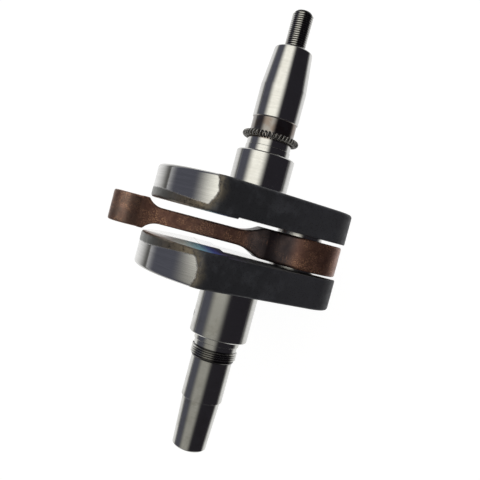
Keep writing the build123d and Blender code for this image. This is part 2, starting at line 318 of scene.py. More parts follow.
# ---- shader helpers ------------------------------------------------------------
class Nodes:
    """Short calls for placing and joining shader nodes in one tree."""

    def __init__(self, tree):
        self.tree = tree

    def add(self, kind, inputs=None, **settings):
        node = self.tree.nodes.new(kind)
        for name, value in settings.items():
            setattr(node, name, value)
        for name, value in (inputs or {}).items():
            self.put(node.inputs[name], value)
        return node

    def put(self, socket, value):
        if isinstance(value, bpy.types.NodeSocket):
            self.tree.links.new(value, socket)
        else:
            socket.default_value = value

    def math(self, operation, a, b=0.0, c=0.0, clamp=False):
        node = self.add("ShaderNodeMath", operation=operation, use_clamp=clamp)
        self.put(node.inputs[0], a)
        self.put(node.inputs[1], b)
        self.put(node.inputs[2], c)
        return node.outputs[0]

    def ramp(self, value, low, high, to_low=0.0, to_high=1.0):
        node = self.add("ShaderNodeMapRange", interpolation_type="SMOOTHSTEP")
        names = ("Value", "From Min", "From Max", "To Min", "To Max")
        for name, setting in zip(names, (value, low, high, to_low, to_high)):
            self.put(node.inputs[name], setting)
        return node.outputs["Result"]

    def mix(self, factor, a, b):
        node = self.add("ShaderNodeMix", data_type="RGBA")
        self.put(node.inputs["Factor"], factor)
        self.put(node.inputs["A"], a)
        self.put(node.inputs["B"], b)
        return node.outputs["Result"]

    def blend_values(self, factor, a, b):
        node = self.add("ShaderNodeMix", data_type="FLOAT")
        self.put(node.inputs["Factor"], factor)
        self.put(node.inputs["A"], a)
        self.put(node.inputs["B"], b)
        return node.outputs["Result"]

    def noise(self, vector, scale, detail=4.0, rough=0.55, distortion=0.0):
        node = self.add("ShaderNodeTexNoise")
        self.put(node.inputs["Vector"], vector)
        self.put(node.inputs["Scale"], scale)
        self.put(node.inputs["Detail"], detail)
        self.put(node.inputs["Roughness"], rough)
        self.put(node.inputs["Distortion"], distortion)
        return node.outputs["Fac"]

    def place(self):
        """Object coordinates in millimetres."""
        where = self.add("ShaderNodeTexCoord").outputs["Object"]
        node = self.add("ShaderNodeVectorMath", operation="SCALE")
        self.put(node.inputs[0], where)
        node.inputs["Scale"].default_value = 1000.0
        return node.outputs[0]

    def hypotenuse(self, a, b):
        return self.math("SQRT", self.math("ADD", self.math("MULTIPLY", a, a), self.math("MULTIPLY", b, b)))

    def stretch(self, vector, amount):
        node = self.add("ShaderNodeVectorMath", operation="MULTIPLY")
        self.put(node.inputs[0], vector)
        node.inputs[1].default_value = amount
        return node.outputs[0]

    def split(self, vector):
        node = self.add("ShaderNodeSeparateXYZ")
        self.put(node.inputs[0], vector)
        return node.outputs

    def bump(self, height, strength, distance):
        node = self.add("ShaderNodeBump")
        self.put(node.inputs["Height"], height)
        node.inputs["Strength"].default_value = strength
        node.inputs["Distance"].default_value = distance
        return node.outputs["Normal"]


def empty_nodes(owner):
    """Switches on the nodes of a material or world, clears them and returns calls for placing new ones."""
    owner.use_nodes = True
    owner.node_tree.nodes.clear()
    return Nodes(owner.node_tree)


def shader_group(name, inputs, outputs):
    """A new node group with named sockets; returns its tree, what it is given and what it puts out."""
    tree = bpy.data.node_groups.new(name, "ShaderNodeTree")
    kinds = {"float": "NodeSocketFloat", "vector": "NodeSocketVector"}
    for socket, (kind, default) in inputs.items():
        made = tree.interface.new_socket(socket, in_out="INPUT", socket_type=kinds[kind])
        made.default_value = default
    for socket, kind in outputs.items():
        tree.interface.new_socket(socket, in_out="OUTPUT", socket_type=kinds[kind])
    return tree, tree.nodes.new("NodeGroupInput").outputs, tree.nodes.new("NodeGroupOutput").inputs


def grinding_marks_group():
    """Fine rings left round a shaft by the grinding wheel, with a few deeper ones."""
    tree, given, out = shader_group(
        "Grinding marks",
        {"Place": ("vector", (0, 0, 0)), "Fineness": ("float", 9.0), "Smudge": ("float", 0.35)},
        {"Lines": "float", "Smudges": "float"})
    n = Nodes(tree)
    along = n.stretch(given["Place"], (0.02, 1.0, 0.02))
    fine = n.noise(along, given["Fineness"], 3.0, 0.7)
    coarse = n.noise(along, n.math("MULTIPLY", given["Fineness"], 0.22), 2.0, 0.6)
    n.put(out["Lines"], n.math("ADD", n.math("MULTIPLY", fine, 0.65), n.math("MULTIPLY", coarse, 0.35)))
    cloud = n.noise(given["Place"], 0.13, 5.0, 0.62, 0.4)
    smudge = n.ramp(cloud, 0.45, 0.75)
    n.put(out["Smudges"], n.math("MULTIPLY", smudge, given["Smudge"]))
    return tree


def forged_scale_group():
    """Rough mill scale: lumps, pits and dusty patches."""
    tree, given, out = shader_group(
        "Forged scale",
        {"Place": ("vector", (0, 0, 0)), "Size": ("float", 1.0)},
        {"Height": "float", "Pits": "float", "Patches": "float"})
    n = Nodes(tree)
    fine = n.noise(given["Place"], n.math("MULTIPLY", given["Size"], 2.6), 6.0, 0.68)
    lumps = n.noise(given["Place"], n.math("MULTIPLY", given["Size"], 0.55), 4.0, 0.6)
    n.put(out["Height"], n.math("ADD", n.math("MULTIPLY", fine, 0.55), n.math("MULTIPLY", lumps, 0.6)))
    cells = n.add("ShaderNodeTexVoronoi", {"Vector": given["Place"], "Scale": 1.15})
    n.put(out["Pits"], n.ramp(cells.outputs["Distance"], 0.10, 0.34, 1.0, 0.0))
    n.put(out["Patches"], n.ramp(n.noise(given["Place"], 0.11, 5.0, 0.6), 0.46, 0.68))
    return tree


def handling_wear_group():
    """Fine slanted scratches from handling, gathered in patches."""
    tree, given, out = shader_group(
        "Handling wear",
        {"Place": ("vector", (0, 0, 0)), "Amount": ("float", 0.5)},
        {"Scratches": "float"})
    n = Nodes(tree)
    slanted = n.add(
        "ShaderNodeMapping", {"Vector": given["Place"], "Rotation": (0.5, 0.9, 0.3), "Scale": (1, 0.06, 1)})
    lines = n.noise(slanted.outputs[0], 3.2, 2.0, 0.5)
    where = n.ramp(n.noise(given["Place"], 0.16, 3.0), 0.42, 0.66)
    scratch = n.math("MULTIPLY", n.ramp(lines, 0.66, 0.76), where)
    n.put(out["Scratches"], n.math("MULTIPLY", scratch, given["Amount"]))
    return tree


GROUP_MAKERS = {
    "Grinding marks": grinding_marks_group,
    "Forged scale": forged_scale_group,
    "Handling wear": handling_wear_group,
}


def place_group(n, name, inputs):
    """Places a shared group in a material, building it the first time."""
    tree = bpy.data.node_groups.get(name) or GROUP_MAKERS[name]()
    node = n.add("ShaderNodeGroup", node_tree=tree)
    for socket, value in inputs.items():
        n.put(node.inputs[socket], value)
    return node.outputs


def new_material(name, **constants):
    """A material with its nodes and a Principled shader; the last two are None where it is already made."""
    material = bpy.data.materials.get(name)
    if material:
        return material, None, None
    material = bpy.data.materials.new(name)
    n = empty_nodes(material)
    shader = n.add("ShaderNodeBsdfPrincipled")
    output = n.add("ShaderNodeOutputMaterial")
    n.put(output.inputs["Surface"], shader.outputs["BSDF"])
    for socket, value in constants.items():
        shader.inputs[socket.replace("_", " ")].default_value = value
    return material, n, shader


def rgb(value):
    return (value[0], value[1], value[2], 1.0)


def finishes():
    return bpy.context.scene.crank_finishes


THREAD_ROOT_SHADE = (0.022, 0.020, 0.018, 1)
NECK_BROWN = (0.20, 0.155, 0.130, 1)
NECK_GREY = (0.25, 0.235, 0.225, 1)


def ground_steel(name, roughness=0.10, tint=(1.0, 1.0, 1.0), smudge=0.3, thread=None, neck=None):
    """Bright ground steel with grinding rings and oily smudges, painted shade in the thread roots and a brown
    neck.

    In millimetres, the thread is (from, to, root radius, crest radius) and the neck is (from, to).
    """
    material, n, shader = new_material(name, Metallic=1.0, Anisotropic=0.25)
    if n is None:
        return material
    place = n.place()
    marks = place_group(n, "Grinding marks", {"Place": place, "Smudge": smudge})
    wear = place_group(n, "Handling wear", {"Place": place, "Amount": finishes().wear})
    clean = [a * b for a, b in zip(finishes().ground, tint)]
    dull = [0.90 * value for value in clean]
    shade = n.mix(n.ramp(marks["Lines"], 0.40, 0.62), rgb(dull), rgb(clean))
    shade = n.mix(marks["Smudges"], shade, rgb([0.62 * clean[0], 0.60 * clean[1], 0.56 * clean[2]]))
    shade = n.mix(wear["Scratches"], shade, rgb([0.45 * value for value in clean]))
    x, y, z = n.split(place)
    if thread:
        low, high, root, crest = thread
        along = n.math("MULTIPLY", n.ramp(y, low, low + 0.1), n.ramp(y, high - 0.1, high, 1.0, 0.0))
        # painted shade: the thread's grooves are darkened towards the root radius
        root_shade = n.math("MULTIPLY", along, n.ramp(n.hypotenuse(x, z), root, crest, 0.92, 0.0))
        shade = n.mix(root_shade, shade, THREAD_ROOT_SHADE)
    if neck:
        low, high = neck
        patch = n.math("ADD", y, n.math("MULTIPLY", n.noise(place, 0.5), 0.5))
        browned = n.math("MULTIPLY", n.ramp(patch, low, low + 0.8), n.ramp(y, high - 0.15, high, 1.0, 0.0))
        tan = n.mix(n.ramp(n.noise(place, 0.25, 4.0), 0.35, 0.65), NECK_BROWN, NECK_GREY)
        shade = n.mix(n.math("MULTIPLY", browned, 0.93), shade, tan)
    n.put(shader.inputs["Base Color"], shade)
    rough = n.ramp(marks["Lines"], 0.35, 0.65, roughness * 1.35, roughness * 0.8)
    rough = n.math("ADD", rough, n.math("MULTIPLY", marks["Smudges"], 0.12))
    n.put(shader.inputs["Roughness"], n.math("ADD", rough, n.math("MULTIPLY", wear["Scratches"], 0.15)))
    n.put(shader.inputs["Normal"], n.bump(marks["Lines"], 0.035, 0.00002))
    return material


# ---- shafts ----------------------------------------------------------------------
FLY_TIP = FLYWHEEL_BOX[1].y
DRIVE_TIP = -DRIVE_BOX[0].y
NOSE_SHOULDER = FLY_TIP - MOUNTS["nose_thread"]["dims"]["length_mm"] * MM
LOCK_THREAD_START, LOCK_THREAD_END = mount_span("lock_nut_thread")
LATHE_STEPS = 160
FINE = 0.12 * MM
THREAD_PITCH = 1.0 * MM
THREAD_DEPTH = 0.6134 * THREAD_PITCH


def near(along, radius, *steps):
    """Corners at small steps, in millimetres, from one place on a turned profile."""
    return [(along + forward * MM, radius + out * MM) for forward, out in steps]


def web_root(outer_face):
    """Corners that begin a shaft inside its web and fillet it into the web's face."""
    fillet = near(outer_face, JOURNAL_R, (-6, 1.6), (0.05, 1.6), (0.9, 0.35), (2, 0))
    return [(outer_face - 6 * MM, 0.0), *fillet]


def centre_hole(face):
    """Corners of the lathe centre in an end face, from its mouth to its floor."""
    mouth, pilot = 2.0 * MM, 0.9 * MM
    return [(face, mouth), *near(face, pilot, (-3.2, 0), (-5.0, 0)), (face - 5.4 * MM, 0.0)]


def nose_shaft_corners(sizes, outer_face):
    """The flywheel-side shaft: journal, land, neck, seat, taper and the nose's core."""
    core = NOSE_R - THREAD_DEPTH
    return [
        *web_root(outer_face),
        *near(sizes.nose_journal_end, JOURNAL_R, (-0.6, 0), (0, -0.6)),
        *near(sizes.nose_journal_end, sizes.nose_land_radius, (0, 0.3), (0.4, 0)),
        (sizes.nose_land_end, sizes.nose_land_radius),
        *near(sizes.nose_land_end, sizes.neck_radius, (0.15, 0)),
        *near(sizes.neck_end, sizes.neck_radius, (-0.2, 0), (0, 0.2)),
        (mount_span("flywheel_seat")[0], SEAT_R),
        (sizes.seat_end, SEAT_R),
        *near(NOSE_SHOULDER, sizes.taper_tip_radius, (-0.5, 0), (0, -0.43)),
        *near(NOSE_SHOULDER, core, (0, 0.25), (0.5, 0)),
        *near(FLY_TIP, core, (-0.9, 0), (-0.05, -0.7), (0, -0.9)),
        *centre_hole(FLY_TIP),
    ]


def drive_shaft_corners(sizes, outer_face):
    """The drive-side shaft: journal, land, undercut, thread core, stub and end taper."""
    core = LOCK_THREAD_R - THREAD_DEPTH
    stub_end = mount_span("drive_stub")[1]
    return [
        *web_root(outer_face),
        *near(sizes.drive_journal_end, JOURNAL_R, (-0.5, 0), (0, -0.5)),
        *near(sizes.drive_journal_end, sizes.drive_land_radius, (0, 0.25), (0.3, 0)),
        (sizes.drive_land_end, sizes.drive_land_radius),
        *near(sizes.drive_land_end, sizes.undercut_radius, (0.3, 0)),
        *near(LOCK_THREAD_START, sizes.undercut_radius, (-0.1, 0)),
        (LOCK_THREAD_START, core),
        *near(LOCK_THREAD_END, core, (-0.3, 0)),
        *near(LOCK_THREAD_END, STUB_R, (0.2, 0)),
        *near(stub_end, STUB_R, (-0.2, 0)),
        *near(stub_end, sizes.end_taper_radius, (0.1, 0)),
        *near(DRIVE_TIP, sizes.end_tip_radius, (-0.75, 0), (-0.05, -0.7), (0, -0.9)),
        *centre_hole(DRIVE_TIP),
    ]


def oil_drill(sizes):
    """Drill with a countersink that makes the oil hole in the drive-side journal."""
    bm = bmesh.new()
    mouth = Vector((0, -sizes.oil_hole_place, JOURNAL_R))
    corners = [(-6 * MM, 0), *near(0, sizes.oil_hole_radius, (-5.4, 0), (-0.6, 0), (1, 1.6)), (1 * MM, 0)]
    turn_profile(bm, corners, mouth, AXIS_Z, 32, across=AXIS_Y)
    return bm


class CRANK_OT_flywheel_shaft(bpy.types.Operator):
    """Turn the flywheel-side shaft with its threaded nose"""
    bl_idname = "crank.flywheel_shaft"
    bl_label = "Flywheel-side shaft"

    def execute(self, context):
        corners = nose_shaft_corners(context.scene.crank_shafts, context.scene.crank_web.outer_face)
        bm = bmesh.new()
        turn_profile(bm, corners, ORIGIN, AXIS_Y, LATHE_STEPS, FINE)
        helical_ridge(bm, NOSE_SHOULDER + 0.7 * MM, 16.6, NOSE_R, 64, 1)
        piece = new_piece("flywheel_side_shaft", bm, "crankshaft")
        thread = (NOSE_SHOULDER / MM, FLY_TIP / MM, 4.42, 4.86)
        use_material(piece, ground_steel("Ground nose shaft", thread=thread, neck=(46.4, 57.0)))
        return {"FINISHED"}


class CRANK_OT_drive_shaft(bpy.types.Operator):
    """Turn the drive-side shaft with its lock-nut thread and oil hole"""
    bl_idname = "crank.drive_shaft"
    bl_label = "Drive-side shaft"

    def execute(self, context):
        sizes = context.scene.crank_shafts
        bm = bmesh.new()
        corners = drive_shaft_corners(sizes, context.scene.crank_web.outer_face)
        turn_profile(bm, corners, ORIGIN, -AXIS_Y, LATHE_STEPS, FINE)
        piece = new_piece("drive_side_shaft", bm, "crankshaft")
        cut(piece, oil_drill(sizes))
        # the ridge overlaps the core, so it goes on after the cut
        bm = bmesh.new()
        bm.from_mesh(piece.data)
        helical_ridge(bm, LOCK_THREAD_START + 0.3 * MM, 4.4, LOCK_THREAD_R, 120, -1)
        bmesh.ops.recalc_face_normals(bm, faces=bm.faces[:])
        bm.to_mesh(piece.data)
        bm.free()
        piece.data.shade_smooth()
        piece.data.set_sharp_from_angle(angle=radians(CREASE))
        weigh_normals(piece)
        thread = (-LOCK_THREAD_END / MM - 0.4, -LOCK_THREAD_START / MM, 10.36, 10.62)
        use_material(piece, ground_steel("Oiled ground steel", 0.12, (0.97, 0.97, 0.95), 0.5, thread=thread))
        return {"FINISHED"}


# ---- webs ---------------------------------------------------------------------
def edges_at(bm, **place):
    """Edges whose two ends lie at the given x, y or z."""
    return [edge for edge in bm.edges if all(
        abs(getattr(vert.co, axis) - value) < 1e-7 for vert in edge.verts for axis, value in place.items())]


def web_outline(bm, sizes, y):
    """The web's outline as one face: rim, flanks, and the rounding about the pin."""
    corner_x = (sizes.rim_radius ** 2 - sizes.flank_height ** 2) ** 0.5
    rise = sizes.flank_height - PIN_Z
    touch = atan2(rise, corner_x) - acos(sizes.pin_end_radius / hypot(corner_x, rise))
    rim_start = bm.verts.new((corner_x, y, sizes.flank_height))
    rim_half_angle = atan2(corner_x, sizes.flank_height)
    rim = bmesh.ops.spin(
        bm, geom=[rim_start], cent=ORIGIN, axis=AXIS_Y, angle=-2 * rim_half_angle, steps=84)
    low_start = bm.verts.new((
        sizes.pin_end_radius * cos(touch), y, PIN_Z + sizes.pin_end_radius * sin(touch)))
    low = bmesh.ops.spin(
        bm, geom=[low_start], cent=PIN_CENTRE, axis=AXIS_Y, angle=pi + 2 * touch, steps=40)
    rim_end = next(item for item in rim["geom_last"] if isinstance(item, bmesh.types.BMVert))
    low_end = next(item for item in low["geom_last"] if isinstance(item, bmesh.types.BMVert))
    bm.edges.new((rim_start, low_start))
    bm.edges.new((rim_end, low_end))
    bmesh.ops.bevel(
        bm, geom=[rim_start, rim_end], offset=sizes.shoulder, segments=8, profile=0.5,
        affect="VERTICES", material=-1, clamp_overlap=False)
    bmesh.ops.contextual_create(bm, geom=bm.edges[:])
    return bm.faces[:]


def web_solid(sizes, side):
    """Extrudes the outline, bevels the inner edge and rounds the outer one."""
    bm = bmesh.new()
    inner, outer = side * sizes.inner_face, side * sizes.outer_face
    face = web_outline(bm, sizes, inner)
    grown = bmesh.ops.extrude_face_region(bm, geom=face, use_keep_orig=True)
    moved = [item for item in grown["geom"] if isinstance(item, bmesh.types.BMVert)]
    bmesh.ops.translate(bm, verts=moved, vec=(0, outer - inner, 0))
    bmesh.ops.recalc_face_normals(bm, faces=bm.faces[:])
    for y, offset, segments in ((outer, sizes.outer_rounding, 5), (inner, sizes.inner_bevel, 3)):
        bmesh.ops.bevel(
            bm, geom=edges_at(bm, y=y), offset=offset, segments=segments, profile=0.5, affect="EDGES",
            material=-1)
    return bm


def relief_cutter(sizes, side):
    """Block that mills the relief beside the big end, with a small run-out radius."""
    bm = bmesh.new()
    depth = sizes.relief_face - sizes.inner_face
    bmesh.ops.create_cube(bm, size=1.0)
    bmesh.ops.scale(bm, vec=(3 * sizes.rim_radius, 2 * depth, 2 * sizes.rim_radius), verts=bm.verts[:])
    lift = sizes.relief_edge - sizes.rim_radius
    bmesh.ops.translate(bm, vec=(0, side * sizes.inner_face, lift), verts=bm.verts[:])
    corner = edges_at(bm, y=side * sizes.relief_face, z=sizes.relief_edge)
    bmesh.ops.bevel(bm, geom=corner, offset=0.5 * MM, segments=4, profile=0.5, affect="EDGES", material=-1)
    return bm


def pin_bore_cutter(sizes):
    """The crankpin's bore through a web, with a lead-in at the outer face."""
    bm = bmesh.new()
    radius = PIN_R + 0.01 * MM
    flared = radius + 1.7 * MM
    reach = sizes.outer_face + 1 * MM
    mouth = sizes.outer_face - 0.7 * MM
    corners = [
        (-reach, 0), (-reach, flared), (-mouth, radius), (mouth, radius), (reach, flared), (reach, 0)]
    turn_profile(bm, corners, PIN_CENTRE, AXIS_Y, 128)
    return bm


SCALE_PIT = (0.004, 0.004, 0.004, 1)
PALE_SCALE = (0.086, 0.087, 0.106, 1)
RUST_SPECK = (0.24, 0.21, 0.165, 1)
RUST_DARK, RUST_LIGHT = (0.05, 0.045, 0.04, 1), (0.34, 0.28, 0.20, 1)
EDGE_DARK, EDGE_LIGHT = (0.20, 0.20, 0.185, 1), (0.34, 0.335, 0.32, 1)
FLANK_SCRATCH = (0.10, 0.10, 0.10, 1)


def web_flank_material():
    """Black forged flanks with a bright turned rim, rough scale where the two meet."""
    material, n, shader = new_material("Forged web with turned rim")
    if n is None:
        return material
    place = n.place()
    x, y, z = n.split(place)
    scale = place_group(n, "Forged scale", {"Place": place, "Size": 1.0})
    marks = place_group(n, "Grinding marks", {"Place": place, "Fineness": 5.0, "Smudge": 0.2})
    wear = place_group(n, "Handling wear", {"Place": place, "Amount": finishes().wear})
    depth = n.math("SUBTRACT", n.math("ABSOLUTE", y), bpy.context.scene.crank_web.inner_face / MM)
    angle = n.math("ARCTAN2", n.math("ABSOLUTE", x), z)
    wander = n.math("SUBTRACT", n.noise(place, 0.35, 4.0, 0.65), 0.5)
    wander_fine = n.math("SUBTRACT", n.noise(place, 1.6, 4.0, 0.7), 0.5)
    # the end of the turned rim bulges at mid thickness and wanders a little
    bulge = n.math("MULTIPLY", n.math("POWER", n.math("SUBTRACT", depth, 9.5), 2.0), -0.0012)
    limit = n.math("ADD", finishes().rim_angle, bulge)
    limit = n.math("ADD", limit, n.math("MULTIPLY", wander, 0.04))
    limit = n.math("ADD", limit, n.math("MULTIPLY", wander_fine, 0.015))
    inside = n.math("SUBTRACT", limit, angle)
    # beside the inner face the rim keeps a strip of scale, narrower towards the flanks
    strip = n.ramp(angle, 0.3, 1.15, 4.6, 2.6)
    strip = n.math("ADD", strip, n.math("MULTIPLY", wander_fine, 1.2))
    past_strip = n.ramp(n.math("SUBTRACT", depth, strip), -0.25, 0.35)
    turned = n.math("MULTIPLY", n.ramp(inside, -0.012, 0.012), past_strip)
    # specks of rust just beyond the turned rim
    beyond = n.math("SUBTRACT", angle, limit)
    fringe = n.math("MULTIPLY", n.ramp(beyond, -0.01, 0.02), n.ramp(beyond, 0.02, 0.10, 1.0, 0.0))
    speckle = n.math("MULTIPLY", fringe, n.ramp(scale["Height"], 0.42, 0.62))
    band = n.ramp(inside, -0.05, 0.05)
    black = finishes().scale
    forged = n.mix(scale["Patches"], rgb(black), rgb([1.9 * value for value in black]))
    forged = n.mix(n.ramp(angle, 1.6, 2.5, 0.0, 0.6), forged, PALE_SCALE)
    forged = n.mix(n.math("MULTIPLY", scale["Pits"], 0.6), forged, SCALE_PIT)
    forged = n.mix(n.math("MULTIPLY", speckle, 0.85), forged, RUST_SPECK)
    grey_edge = n.mix(scale["Patches"], EDGE_DARK, EDGE_LIGHT)
    rusty = n.mix(n.ramp(scale["Height"], 0.40, 0.62), RUST_DARK, RUST_LIGHT)
    grey_edge = n.mix(n.ramp(angle, 0.45, 0.80), grey_edge, rusty)
    forged = n.mix(n.math("MULTIPLY", band, 0.85), forged, grey_edge)
    forged = n.mix(wear["Scratches"], forged, FLANK_SCRATCH)
    ground = finishes().ground
    steel = n.mix(n.ramp(marks["Lines"], 0.40, 0.62), rgb([0.86 * value for value in ground]), rgb(ground))
    n.put(shader.inputs["Base Color"], n.mix(turned, forged, steel))
    half_metal = n.math("MAXIMUM", n.math("MULTIPLY", band, 0.9), n.math("MULTIPLY", speckle, 0.5))
    n.put(shader.inputs["Metallic"], n.blend_values(turned, half_metal, 1.0))
    rough = n.ramp(scale["Height"], 0.4, 0.75, 0.42, 0.62)
    rough = n.blend_values(band, rough, 0.34)
    n.put(shader.inputs["Roughness"], n.blend_values(turned, rough, 0.10))
    rugged = n.math("MULTIPLY", scale["Height"], n.blend_values(turned, 1.0, 0.0))
    lift = n.math("ADD", rugged, n.math("MULTIPLY", fringe, n.math("MULTIPLY", speckle, 0.8)))
    n.put(shader.inputs["Normal"], n.bump(lift, 0.55, 0.00022))
    return material


FACED_DARK, FACED_LIGHT = (0.72, 0.71, 0.70, 1), (0.82, 0.815, 0.80, 1)
FACED_STAIN = (0.45, 0.44, 0.42, 1)
FACED_SCRATCH = (0.4, 0.4, 0.39, 1)
# inner-face colours by height: dark painted shade, then temper blues, then a painted reflection of the white
# floor
TEMPER_AND_REFLECTION_REACH = 48.0
TEMPER_SHADE_AND_REFLECTION_COLOURS = (
    (0.0, (0.12, 0.12, 0.13, 1)),
    (0.26, (0.090, 0.070, 0.170, 1)),
    (0.34, (0.120, 0.150, 0.620, 1)),
    (0.46, (0.42, 0.82, 0.98, 1)),
    (0.60, (0.96, 1.0, 0.94, 1)),
    (0.80, (1.0, 1.0, 0.98, 1)),
    (1.0, (1.0, 1.0, 0.98, 1)))


def web_face_material():
    """Faced steel with turning rings; on half of each inner face a matte painted shade, temper blues and a
    painted reflection of the white floor.
    """
    material, n, shader = new_material("Faced web")
    if n is None:
        return material
    place = n.place()
    x, y, z = n.split(place)
    wear = place_group(n, "Handling wear", {"Place": place, "Amount": finishes().wear})
    rings = n.add("ShaderNodeCombineXYZ", {"X": n.hypotenuse(x, z)})
    lines = n.noise(rings.outputs[0], 4.5, 4.0, 0.7)
    slow = n.noise(place, 0.08, 4.0, 0.6)
    shade = n.mix(n.ramp(lines, 0.35, 0.65), FACED_DARK, FACED_LIGHT)
    shade = n.mix(n.math("MULTIPLY", n.ramp(slow, 0.5, 0.75), 0.3), shade, FACED_STAIN)
    shade = n.mix(wear["Scratches"], shade, FACED_SCRATCH)
    temper_and_reflection = n.add("ShaderNodeValToRGB")
    stops = temper_and_reflection.color_ramp.elements
    stops[0].color = TEMPER_SHADE_AND_REFLECTION_COLOURS[0][1]
    stops[1].color = TEMPER_SHADE_AND_REFLECTION_COLOURS[-1][1]
    for position, value in TEMPER_SHADE_AND_REFLECTION_COLOURS[1:-1]:
        stops.new(position).color = value
    drift = n.math("MULTIPLY", n.math("SUBTRACT", n.noise(place, 0.3), 0.5), 5.0)
    n.put(temper_and_reflection.inputs["Fac"], n.math("DIVIDE", n.math("ADD", z, drift), TEMPER_AND_REFLECTION_REACH, clamp=True))
    # painted shade, temper blues and a painted reflection of the white floor on the +X half of the inner
    # faces, more on the drive side
    edge = n.math("ADD", x, n.math("MULTIPLY", n.math("SUBTRACT", slow, 0.5), 3.0))
    temper_and_reflection_zone = n.math("MULTIPLY", n.ramp(edge, 1.0, 7.0), n.ramp(z, 24.0, 38.0, 1.0, 0.25))
    inner_only = n.ramp(n.math("ABSOLUTE", y), 9.2, 9.6, 1.0, 0.0)
    temper_and_reflection_zone = n.math("MULTIPLY", temper_and_reflection_zone, n.math("MULTIPLY", inner_only, n.ramp(y, -1.0, 0.0, 1.0, 0.6)))
    n.put(shader.inputs["Base Color"], n.mix(temper_and_reflection_zone, shade, temper_and_reflection.outputs["Color"]))
    n.put(shader.inputs["Metallic"], n.blend_values(temper_and_reflection_zone, 1.0, 0.0))
    n.put(shader.inputs["Roughness"], n.blend_values(temper_and_reflection_zone, n.ramp(lines, 0.3, 0.7, 0.16, 0.09), 0.85))
    n.put(shader.inputs["Normal"], n.bump(lines, 0.10, 0.00002))
    return material


class CRANK_OT_webs(bpy.types.Operator):
    """Forge and machine the two crank webs"""
    bl_idname = "crank.webs"
    bl_label = "Crank webs"

    def execute(self, context):
        sizes = context.scene.crank_web
        for side, end in ((1, "flywheel_side"), (-1, "drive_side")):
            piece = new_piece(
                end + "_web", web_solid(sizes, side), "crankshaft", replaces=[end + "_crank_half"],
                weighted=False)
            cut(piece, relief_cutter(sizes, side))
            cut(piece, pin_bore_cutter(sizes))
            piece.data.set_sharp_from_angle(angle=radians(28))
            weigh_normals(piece)
            use_material(piece, web_flank_material(), web_face_material())
            for polygon in piece.data.polygons:
                faced = abs(polygon.normal.y) > 0.95
                in_bore = (polygon.center - PIN_CENTRE).xz.length < PIN_R + 2 * MM
                polygon.material_index = 1 if faced or in_bore else 0
        return {"FINISHED"}


# ---- crankpin and big-end bearing ----------------------------------------------
class CRANK_OT_crankpin(bpy.types.Operator):
    """Turn the pressed crankpin with its chamfers and centres"""
    bl_idname = "crank.crankpin"
    bl_label = "Crankpin"

    def execute(self, context):
        end = PIN_BOX[1].y
        half = [*reversed(centre_hole(end)), *near(end, PIN_R, (0, -0.6), (-0.6, 0))]
        bm = bmesh.new()
        turn_profile(bm, half + [(-along, r) for along, r in reversed(half)], PIN_CENTRE, AXIS_Y, 128)
        piece = new_piece("crankpin_ground", bm, "crankshaft", replaces=["crankpin"])
        use_material(piece, ground_steel("Ground pin steel", 0.14, (0.95, 0.95, 0.95), 0.4))
        return {"FINISHED"}


class CRANK_OT_bearing(bpy.types.Operator):
    """Turn the needle rollers and finish their cage"""
    bl_idname = "crank.bearing"
    bl_label = "Big-end bearing"

    def execute(self, context):
        steel = ground_steel("Polished roller steel", 0.08, (1.05, 1.05, 1.05), 0.1)
        for node in ROLLER_NODES:
            low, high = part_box(node)
            centre = (low + high) / 2
            radius = (high.x - low.x) / 2
            half = (high.y - low.y) / 2
            corners = [
                (-half, 0), *near(-half, radius, (0, -0.3), (0.3, 0)),
                *near(half, radius, (-0.3, 0), (0, -0.3)), (half, 0)]
            bm = bmesh.new()
            turn_profile(bm, corners, centre, AXIS_Y, 32)
            body = frame["nodes"][node]["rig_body"]
            name = node.replace("roller", "needle")
            piece = new_piece(name, bm, body, replaces=[node])
            use_material(piece, steel)
        cage = frame["nodes"]["big_end_cage"]
        use_material(cage, ground_steel("Silvered cage", 0.24, (1.08, 1.06, 1.02), 0.6))
        return {"FINISHED"}


# ---- connecting rod --------------------------------------------------------------
def rod_ring(bm, centre, bore, outside, width, rounding):
    """One end of the rod: a ring with rounded outer corners."""
    half = width / 2
    shy = 0.3 * rounding
    rounded = [(half - rounding, outside), (half - shy, outside - shy), (half, outside - rounding)]
    right = [*rounded, (half, bore)]
    corners = [(-along, radius) for along, radius in reversed(right)] + right
    points = [bm.verts.new(centre + Vector((0, along, radius))) for along, radius in corners]
    edges = [bm.edges.new(pair) for pair in zip(points, points[1:] + points[:1])]
    bmesh.ops.spin(
        bm, geom=points + edges, cent=centre, axis=AXIS_Y, dvec=(0, 0, 0), angle=2 * pi, steps=120,
        use_merge=True)


def arc_rise(distance, reach, radius):
    """How far a flare of that radius has risen, at a distance before its end."""
    run = max(0.0, reach - distance)
    run = min(run, radius * 0.98)
    return radius - (radius ** 2 - run ** 2) ** 0.5


def shank_half_thickness(sizes, z):
    """Half thickness of the shank along the shaft axis, with its flares at both ends."""
    half = sizes.shank / 2
    big_edge = PIN_Z + sizes.big_radius - 1.5 * MM
    small_edge = SMALL_END_Z - sizes.small_radius + 1.0 * MM
    flare_low = arc_rise(z - big_edge, 11.7 * MM, 21 * MM)
    flare_high = arc_rise(small_edge - z, 7.0 * MM, 8.5 * MM)
    return min(half + flare_low + flare_high, ROD_WIDTH / 2)


def shank_half_width(sizes, z):
    """Half width of the shank across the shaft axis, with a fillet into each end."""
    share_up = (z - PIN_Z) / (SMALL_END_Z - PIN_Z)
    straight = (sizes.shank_foot + (sizes.shank_top - sizes.shank_foot) * share_up) / 2
    low = arc_rise(z - (PIN_Z + 12 * MM), 16 * MM, 18 * MM)
    high = arc_rise(SMALL_END_Z - 5 * MM - z, 9 * MM, 40 * MM)
    return straight + low + high


